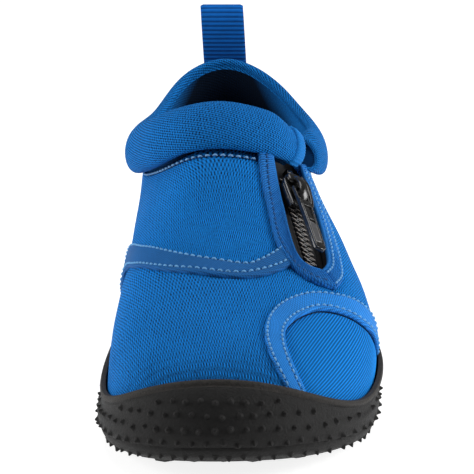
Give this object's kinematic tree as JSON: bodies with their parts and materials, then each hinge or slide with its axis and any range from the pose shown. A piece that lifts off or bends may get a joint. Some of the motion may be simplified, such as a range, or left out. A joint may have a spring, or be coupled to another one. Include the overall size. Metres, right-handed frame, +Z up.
{
  "type": "water shoe",
  "caption": "Low-cut neoprene water shoe with a padded split collar, a short lateral zip, a heel pull loop and a black rubber outsole with a toe rand.",
  "frame": {"origin": "on the ground, under the middle of the outsole's outline", "axes": "+Z up, toe towards -Y, heel towards +Y, lateral side towards +X"},
  "size_m": [0.0952, 0.27, 0.1094],
  "materials": {
    "black_rubber": "matte moulded rubber with small nubs",
    "insole_board": "non-woven board",
    "footbed_foam": "closed-cell foam",
    "footbed_textile": "knit laminate",
    "neoprene_blue": "knit-faced neoprene",
    "ribbed_blue": "ribbed stretch knit",
    "seam_tape_blue": "satin woven tape",
    "zip_tape_black": "woven polyester tape",
    "zip_plastic_black": "moulded, semi-gloss",
    "gusset_blue": "thin knit lining",
    "loop_webbing_blue": "grosgrain webbing"
  },
  "bodies": {
    "shoe": {"outsole": "black_rubber", "strobel_board": "insole_board", "footbed": "footbed_foam", "footbed_cover": "footbed_textile", "vamp_panel": "neoprene_blue", "instep_panel": "neoprene_blue", "forefoot_patch": "ribbed_blue", "collar_front": "neoprene_blue", "collar_rear": "neoprene_blue", "collar_binding_front": "ribbed_blue", "collar_binding_rear": "ribbed_blue", "instep_seam_tape": "seam_tape_blue", "patch_border_tape": "seam_tape_blue", "zip_border_front": "seam_tape_blue", "zip_border_rear": "seam_tape_blue", "heel_seam_tape": "seam_tape_blue", "zip_teeth_front": "zip_plastic_black", "zip_teeth_rear": "zip_plastic_black", "zip_tape_front": "zip_tape_black", "zip_tape_rear": "zip_tape_black", "zip_bottom_stop": "zip_plastic_black", "zip_top_stop_front": "zip_plastic_black", "zip_top_stop_rear": "zip_plastic_black", "zip_gusset": "gusset_blue", "loop_anchor": "loop_webbing_blue"},
    "slider": {"slider_body": "zip_plastic_black"},
    "pull_tab": {"pull_tab": "zip_plastic_black"},
    "heel_loop": {"pull_loop": "loop_webbing_blue"}
  },
  "joints": [
    {"name": "zip_slide", "type": "slide", "parent": "shoe", "child": "slider", "axis": [0.1859, -0.8699, -0.4568], "range_m": [-0.004, 0.021]},
    {"name": "tab_hinge", "type": "hinge", "parent": "slider", "child": "pull_tab", "pos_m": [0.0215, -0.00882, 0.06877], "axis": [-0.8048, -0.4015, 0.4372], "range_deg": [0, 150]},
    {"name": "loop_hinge", "type": "hinge", "parent": "shoe", "child": "heel_loop", "pos_m": [-0.004, 0.129, 0.0832], "axis": [-1, 0, 0], "range_deg": [0, 70], "stiffness_Nm_per_rad": 0.002}
  ]
}
